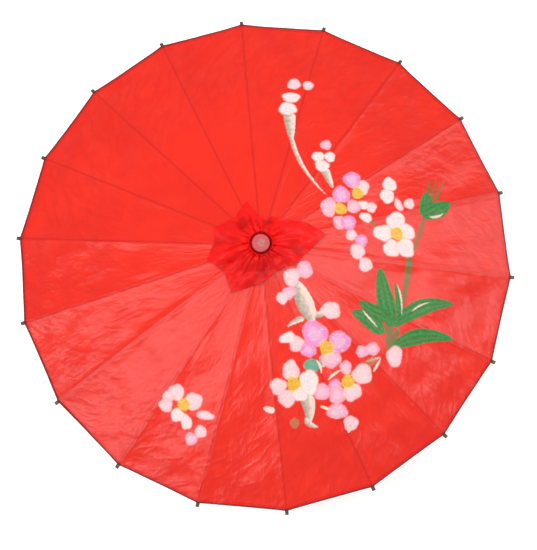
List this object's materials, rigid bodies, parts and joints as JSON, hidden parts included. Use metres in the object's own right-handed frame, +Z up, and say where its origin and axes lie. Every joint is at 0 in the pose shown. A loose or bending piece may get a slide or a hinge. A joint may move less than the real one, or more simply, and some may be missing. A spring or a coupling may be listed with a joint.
{
  "type": "parasol",
  "caption": "Open folding parasol with a painted red cloth canopy on hinged bamboo ribs, a sliding runner, a gathered cloth collar and a turned wooden grip.",
  "frame": {"origin": "on the shaft's axis, in the middle of the grip's straight cylinder", "axes": "+Z up the shaft to the head, +X along the first rib"},
  "size_m": [0.8222, 0.8106, 0.56],
  "materials": {
    "shaft_wood": "satin",
    "grip_wood": "satin",
    "head_wood": "matte",
    "rib_bamboo": "satin",
    "stretcher_bamboo": "satin",
    "wire": "satin",
    "catch_steel": "satin",
    "canopy_cloth": "satin",
    "collar_cloth": "satin",
    "dark_thread": "matte"
  },
  "bodies": {
    "root": {"shaft": "shaft_wood", "grip": "grip_wood", "head": "head_wood", "head_wire": "wire", "catch_pin": "wire", "catch_spring": "catch_steel", "canopy": "canopy_cloth", "hem_cord": "dark_thread", "collar": "collar_cloth", "collar_tie": "dark_thread"},
    "rib_01": {"rib_01": "rib_bamboo"},
    "stretcher_01": {"stretcher_01": "stretcher_bamboo"},
    "rib_02": {"rib_02": "rib_bamboo"},
    "stretcher_02": {"stretcher_02": "stretcher_bamboo"},
    "rib_03": {"rib_03": "rib_bamboo"},
    "stretcher_03": {"stretcher_03": "stretcher_bamboo"},
    "rib_04": {"rib_04": "rib_bamboo"},
    "stretcher_04": {"stretcher_04": "stretcher_bamboo"},
    "rib_05": {"rib_05": "rib_bamboo"},
    "stretcher_05": {"stretcher_05": "stretcher_bamboo"},
    "rib_06": {"rib_06": "rib_bamboo"},
    "stretcher_06": {"stretcher_06": "stretcher_bamboo"},
    "rib_07": {"rib_07": "rib_bamboo"},
    "stretcher_07": {"stretcher_07": "stretcher_bamboo"},
    "rib_08": {"rib_08": "rib_bamboo"},
    "stretcher_08": {"stretcher_08": "stretcher_bamboo"},
    "rib_09": {"rib_09": "rib_bamboo"},
    "stretcher_09": {"stretcher_09": "stretcher_bamboo"},
    "rib_10": {"rib_10": "rib_bamboo"},
    "stretcher_10": {"stretcher_10": "stretcher_bamboo"},
    "rib_11": {"rib_11": "rib_bamboo"},
    "stretcher_11": {"stretcher_11": "stretcher_bamboo"},
    "rib_12": {"rib_12": "rib_bamboo"},
    "stretcher_12": {"stretcher_12": "stretcher_bamboo"},
    "rib_13": {"rib_13": "rib_bamboo"},
    "stretcher_13": {"stretcher_13": "stretcher_bamboo"},
    "rib_14": {"rib_14": "rib_bamboo"},
    "stretcher_14": {"stretcher_14": "stretcher_bamboo"},
    "rib_15": {"rib_15": "rib_bamboo"},
    "stretcher_15": {"stretcher_15": "stretcher_bamboo"},
    "rib_16": {"rib_16": "rib_bamboo"},
    "stretcher_16": {"stretcher_16": "stretcher_bamboo"},
    "rib_17": {"rib_17": "rib_bamboo"},
    "stretcher_17": {"stretcher_17": "stretcher_bamboo"},
    "rib_18": {"rib_18": "rib_bamboo"},
    "stretcher_18": {"stretcher_18": "stretcher_bamboo"},
    "runner": {"runner": "head_wood", "runner_wire": "wire"},
    "catch": {"catch": "catch_steel"}
  },
  "joints": [
    {"name": "canopy_fold", "type": "hinge", "parent": "root", "child": "rib_01", "pos_m": [0.014, 0, 0.497], "axis": [0, 1, 0], "range_deg": [0, 69], "deforming": ["canopy", "hem_cord", "collar", "catch"]},
    {"name": "stretcher_01_fold", "type": "hinge", "parent": "rib_01", "child": "stretcher_01", "pos_m": [0.17092, 0, 0.44601], "axis": [0, 1, 0], "range_deg": [-138, 0]},
    {"name": "rib_02_fold", "type": "hinge", "parent": "root", "child": "rib_02", "pos_m": [0.01316, 0.00479, 0.497], "axis": [-0.342, 0.9397, 0], "range_deg": [0, 69]},
    {"name": "stretcher_02_fold", "type": "hinge", "parent": "rib_02", "child": "stretcher_02", "pos_m": [0.16062, 0.05846, 0.44601], "axis": [-0.342, 0.9397, 0], "range_deg": [-138, 0]},
    {"name": "rib_03_fold", "type": "hinge", "parent": "root", "child": "rib_03", "pos_m": [0.01072, 0.009, 0.497], "axis": [-0.6428, 0.766, 0], "range_deg": [0, 69]},
    {"name": "stretcher_03_fold", "type": "hinge", "parent": "rib_03", "child": "stretcher_03", "pos_m": [0.13094, 0.10987, 0.44601], "axis": [-0.6428, 0.766, 0], "range_deg": [-138, 0]},
    {"name": "rib_04_fold", "type": "hinge", "parent": "root", "child": "rib_04", "pos_m": [0.007, 0.01212, 0.497], "axis": [-0.866, 0.5, 0], "range_deg": [0, 69]},
    {"name": "stretcher_04_fold", "type": "hinge", "parent": "rib_04", "child": "stretcher_04", "pos_m": [0.08546, 0.14802, 0.44601], "axis": [-0.866, 0.5, 0], "range_deg": [-138, 0]},
    {"name": "rib_05_fold", "type": "hinge", "parent": "root", "child": "rib_05", "pos_m": [0.00243, 0.01379, 0.497], "axis": [-0.9848, 0.1736, 0], "range_deg": [0, 69]},
    {"name": "stretcher_05_fold", "type": "hinge", "parent": "rib_05", "child": "stretcher_05", "pos_m": [0.02968, 0.16833, 0.44601], "axis": [-0.9848, 0.1736, 0], "range_deg": [-138, 0]},
    {"name": "rib_06_fold", "type": "hinge", "parent": "root", "child": "rib_06", "pos_m": [-0.00243, 0.01379, 0.497], "axis": [-0.9848, -0.1736, 0], "range_deg": [0, 69]},
    {"name": "stretcher_06_fold", "type": "hinge", "parent": "rib_06", "child": "stretcher_06", "pos_m": [-0.02968, 0.16833, 0.44601], "axis": [-0.9848, -0.1736, 0], "range_deg": [-138, 0]},
    {"name": "rib_07_fold", "type": "hinge", "parent": "root", "child": "rib_07", "pos_m": [-0.007, 0.01212, 0.497], "axis": [-0.866, -0.5, 0], "range_deg": [0, 69]},
    {"name": "stretcher_07_fold", "type": "hinge", "parent": "rib_07", "child": "stretcher_07", "pos_m": [-0.08546, 0.14802, 0.44601], "axis": [-0.866, -0.5, 0], "range_deg": [-138, 0]},
    {"name": "rib_08_fold", "type": "hinge", "parent": "root", "child": "rib_08", "pos_m": [-0.01072, 0.009, 0.497], "axis": [-0.6428, -0.766, 0], "range_deg": [0, 69]},
    {"name": "stretcher_08_fold", "type": "hinge", "parent": "rib_08", "child": "stretcher_08", "pos_m": [-0.13094, 0.10987, 0.44601], "axis": [-0.6428, -0.766, 0], "range_deg": [-138, 0]},
    {"name": "rib_09_fold", "type": "hinge", "parent": "root", "child": "rib_09", "pos_m": [-0.01316, 0.00479, 0.497], "axis": [-0.342, -0.9397, 0], "range_deg": [0, 69]},
    {"name": "stretcher_09_fold", "type": "hinge", "parent": "rib_09", "child": "stretcher_09", "pos_m": [-0.16062, 0.05846, 0.44601], "axis": [-0.342, -0.9397, 0], "range_deg": [-138, 0]},
    {"name": "rib_10_fold", "type": "hinge", "parent": "root", "child": "rib_10", "pos_m": [-0.014, 0, 0.497], "axis": [0, -1, 0], "range_deg": [0, 69]},
    {"name": "stretcher_10_fold", "type": "hinge", "parent": "rib_10", "child": "stretcher_10", "pos_m": [-0.17092, 0, 0.44601], "axis": [0, -1, 0], "range_deg": [-138, 0]},
    {"name": "rib_11_fold", "type": "hinge", "parent": "root", "child": "rib_11", "pos_m": [-0.01316, -0.00479, 0.497], "axis": [0.342, -0.9397, 0], "range_deg": [0, 69]},
    {"name": "stretcher_11_fold", "type": "hinge", "parent": "rib_11", "child": "stretcher_11", "pos_m": [-0.16062, -0.05846, 0.44601], "axis": [0.342, -0.9397, 0], "range_deg": [-138, 0]},
    {"name": "rib_12_fold", "type": "hinge", "parent": "root", "child": "rib_12", "pos_m": [-0.01072, -0.009, 0.497], "axis": [0.6428, -0.766, 0], "range_deg": [0, 69]},
    {"name": "stretcher_12_fold", "type": "hinge", "parent": "rib_12", "child": "stretcher_12", "pos_m": [-0.13094, -0.10987, 0.44601], "axis": [0.6428, -0.766, 0], "range_deg": [-138, 0]},
    {"name": "rib_13_fold", "type": "hinge", "parent": "root", "child": "rib_13", "pos_m": [-0.007, -0.01212, 0.497], "axis": [0.866, -0.5, 0], "range_deg": [0, 69]},
    {"name": "stretcher_13_fold", "type": "hinge", "parent": "rib_13", "child": "stretcher_13", "pos_m": [-0.08546, -0.14802, 0.44601], "axis": [0.866, -0.5, 0], "range_deg": [-138, 0]},
    {"name": "rib_14_fold", "type": "hinge", "parent": "root", "child": "rib_14", "pos_m": [-0.00243, -0.01379, 0.497], "axis": [0.9848, -0.1736, 0], "range_deg": [0, 69]},
    {"name": "stretcher_14_fold", "type": "hinge", "parent": "rib_14", "child": "stretcher_14", "pos_m": [-0.02968, -0.16833, 0.44601], "axis": [0.9848, -0.1736, 0], "range_deg": [-138, 0]},
    {"name": "rib_15_fold", "type": "hinge", "parent": "root", "child": "rib_15", "pos_m": [0.00243, -0.01379, 0.497], "axis": [0.9848, 0.1736, 0], "range_deg": [0, 69]},
    {"name": "stretcher_15_fold", "type": "hinge", "parent": "rib_15", "child": "stretcher_15", "pos_m": [0.02968, -0.16833, 0.44601], "axis": [0.9848, 0.1736, 0], "range_deg": [-138, 0]},
    {"name": "rib_16_fold", "type": "hinge", "parent": "root", "child": "rib_16", "pos_m": [0.007, -0.01212, 0.497], "axis": [0.866, 0.5, 0], "range_deg": [0, 69]},
    {"name": "stretcher_16_fold", "type": "hinge", "parent": "rib_16", "child": "stretcher_16", "pos_m": [0.08546, -0.14802, 0.44601], "axis": [0.866, 0.5, 0], "range_deg": [-138, 0]},
    {"name": "rib_17_fold", "type": "hinge", "parent": "root", "child": "rib_17", "pos_m": [0.01072, -0.009, 0.497], "axis": [0.6428, 0.766, 0], "range_deg": [0, 69]},
    {"name": "stretcher_17_fold", "type": "hinge", "parent": "rib_17", "child": "stretcher_17", "pos_m": [0.13094, -0.10987, 0.44601], "axis": [0.6428, 0.766, 0], "range_deg": [-138, 0]},
    {"name": "rib_18_fold", "type": "hinge", "parent": "root", "child": "rib_18", "pos_m": [0.01316, -0.00479, 0.497], "axis": [0.342, 0.9397, 0], "range_deg": [0, 69]},
    {"name": "stretcher_18_fold", "type": "hinge", "parent": "rib_18", "child": "stretcher_18", "pos_m": [0.16062, -0.05846, 0.44601], "axis": [0.342, 0.9397, 0], "range_deg": [-138, 0]},
    {"name": "runner_link", "type": "hinge", "parent": "stretcher_01", "child": "runner", "pos_m": [0.014, 0, 0.39502], "axis": [0, 1, 0], "range_deg": [0, 69]},
    {"name": "catch_press", "type": "hinge", "parent": "root", "child": "catch", "pos_m": [0, 0, 0.31152], "axis": [-1, 0, 0], "range_deg": [0, 5.5], "stiffness_Nm_per_rad": 0.5, "springref_deg": -5.73, "deforming": ["catch_spring"]}
  ],
  "couplings": [
    {"joint": "stretcher_01_fold", "follows": "canopy_fold", "ratio": -2},
    {"joint": "rib_02_fold", "follows": "canopy_fold", "ratio": 1},
    {"joint": "stretcher_02_fold", "follows": "canopy_fold", "ratio": -2},
    {"joint": "rib_03_fold", "follows": "canopy_fold", "ratio": 1},
    {"joint": "stretcher_03_fold", "follows": "canopy_fold", "ratio": -2},
    {"joint": "rib_04_fold", "follows": "canopy_fold", "ratio": 1},
    {"joint": "stretcher_04_fold", "follows": "canopy_fold", "ratio": -2},
    {"joint": "rib_05_fold", "follows": "canopy_fold", "ratio": 1},
    {"joint": "stretcher_05_fold", "follows": "canopy_fold", "ratio": -2},
    {"joint": "rib_06_fold", "follows": "canopy_fold", "ratio": 1},
    {"joint": "stretcher_06_fold", "follows": "canopy_fold", "ratio": -2},
    {"joint": "rib_07_fold", "follows": "canopy_fold", "ratio": 1},
    {"joint": "stretcher_07_fold", "follows": "canopy_fold", "ratio": -2},
    {"joint": "rib_08_fold", "follows": "canopy_fold", "ratio": 1},
    {"joint": "stretcher_08_fold", "follows": "canopy_fold", "ratio": -2},
    {"joint": "rib_09_fold", "follows": "canopy_fold", "ratio": 1},
    {"joint": "stretcher_09_fold", "follows": "canopy_fold", "ratio": -2},
    {"joint": "rib_10_fold", "follows": "canopy_fold", "ratio": 1},
    {"joint": "stretcher_10_fold", "follows": "canopy_fold", "ratio": -2},
    {"joint": "rib_11_fold", "follows": "canopy_fold", "ratio": 1},
    {"joint": "stretcher_11_fold", "follows": "canopy_fold", "ratio": -2},
    {"joint": "rib_12_fold", "follows": "canopy_fold", "ratio": 1},
    {"joint": "stretcher_12_fold", "follows": "canopy_fold", "ratio": -2},
    {"joint": "rib_13_fold", "follows": "canopy_fold", "ratio": 1},
    {"joint": "stretcher_13_fold", "follows": "canopy_fold", "ratio": -2},
    {"joint": "rib_14_fold", "follows": "canopy_fold", "ratio": 1},
    {"joint": "stretcher_14_fold", "follows": "canopy_fold", "ratio": -2},
    {"joint": "rib_15_fold", "follows": "canopy_fold", "ratio": 1},
    {"joint": "stretcher_15_fold", "follows": "canopy_fold", "ratio": -2},
    {"joint": "rib_16_fold", "follows": "canopy_fold", "ratio": 1},
    {"joint": "stretcher_16_fold", "follows": "canopy_fold", "ratio": -2},
    {"joint": "rib_17_fold", "follows": "canopy_fold", "ratio": 1},
    {"joint": "stretcher_17_fold", "follows": "canopy_fold", "ratio": -2},
    {"joint": "rib_18_fold", "follows": "canopy_fold", "ratio": 1},
    {"joint": "stretcher_18_fold", "follows": "canopy_fold", "ratio": -2},
    {"joint": "runner_link", "follows": "canopy_fold", "ratio": 1}
  ]
}
